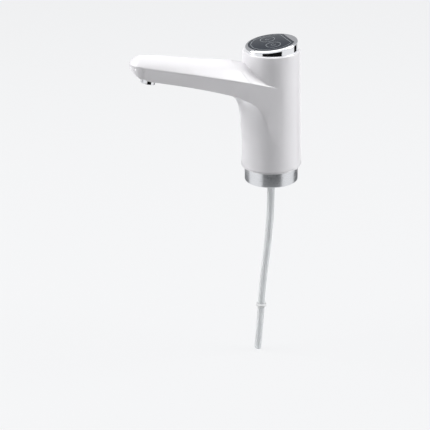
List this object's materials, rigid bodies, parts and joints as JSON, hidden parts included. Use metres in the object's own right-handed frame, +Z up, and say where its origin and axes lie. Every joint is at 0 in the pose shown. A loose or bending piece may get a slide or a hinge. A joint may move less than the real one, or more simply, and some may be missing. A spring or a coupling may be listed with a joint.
{
  "type": "water bottle dispenser pump",
  "caption": "Electric dispenser pump for a large water bottle: drafted round column with a tapering spout arm, tilted touch panel, neck sleeve and suction hose.",
  "frame": {"origin": "centre of the flange's underside, on the column's axis, at the level of the bottle's rim", "axes": "+Z up the column's axis, -X along the spout arm, +X towards the charging port, +Y across"},
  "size_m": [0.1627, 0.057, 0.322],
  "materials": {
    "body_white": "satin gloss, fine moulded surface",
    "sleeve_steel": "polished",
    "chrome": "mirror",
    "panel_slate": "high gloss",
    "screw_steel": "plain",
    "fitting_white": "matte",
    "pump_black": "matte",
    "impeller_white": "matte",
    "seal_rubber": "matte",
    "flap_rubber": "matte",
    "hose_silicone": "clear, satin",
    "motor_steel": "zinc plated",
    "motor_plastic": "matte",
    "bushing_bronze": "sintered",
    "magnet_ferrite": "matte",
    "brush_carbon": "matte",
    "terminal_brass": "bright",
    "shaft_steel": "ground",
    "core_steel": "laminated",
    "winding_copper": "enamelled",
    "holder_grey": "matte",
    "cell_wrap": "shrink wrap",
    "contact_nickel": "nickel plated",
    "board_green": "solder mask",
    "part_black": "satin",
    "pad_foam": "foam"
  },
  "bodies": {
    "pump": {"housing": "body_white", "spout_cover": "body_white", "base_plate": "body_white", "neck_sleeve": "sleeve_steel", "base_screws": "screw_steel", "inlet_nut": "fitting_white", "inlet_seal": "seal_rubber", "pump_cover": "pump_black", "pump_gasket": "seal_rubber", "pump_volute": "pump_black", "pump_screws": "screw_steel", "shaft_seal": "seal_rubber", "motor_can": "motor_steel", "motor_end_cap": "motor_plastic", "motor_bushings": "bushing_bronze", "motor_magnets": "magnet_ferrite", "motor_brushes": "brush_carbon", "motor_terminals": "terminal_brass", "battery_holder": "holder_grey", "battery_cell": "cell_wrap", "battery_contacts": "contact_nickel", "control_board": "board_green", "board_parts": "part_black", "usb_port": "contact_nickel", "cap_carrier": "holder_grey", "chrome_bezel": "chrome", "cap_seal": "seal_rubber", "touch_board": "board_green", "touch_pads": "pad_foam", "touch_panel": "panel_slate", "nozzle_elbow": "fitting_white", "flow_straightener": "fitting_white", "nozzle_ring": "chrome", "outlet_hose": "hose_silicone", "suction_hose_upper": "hose_silicone", "hose_connector": "fitting_white", "suction_hose_lower": "hose_silicone"},
    "rotor": {"motor_shaft": "shaft_steel", "motor_armature": "core_steel", "motor_windings": "winding_copper", "commutator": "winding_copper", "impeller": "impeller_white"},
    "flap": {"port_cover": "flap_rubber"}
  },
  "joints": [
    {"name": "rotor_spin", "type": "hinge", "parent": "pump", "child": "rotor", "pos_m": [0, 0, 0.028], "axis": [0, 0, 1], "continuous": true},
    {"name": "port_flap", "type": "hinge", "parent": "pump", "child": "flap", "pos_m": [0.02788, 0, 0.0378], "axis": [0, -1, 0], "range_deg": [0, 100]}
  ]
}
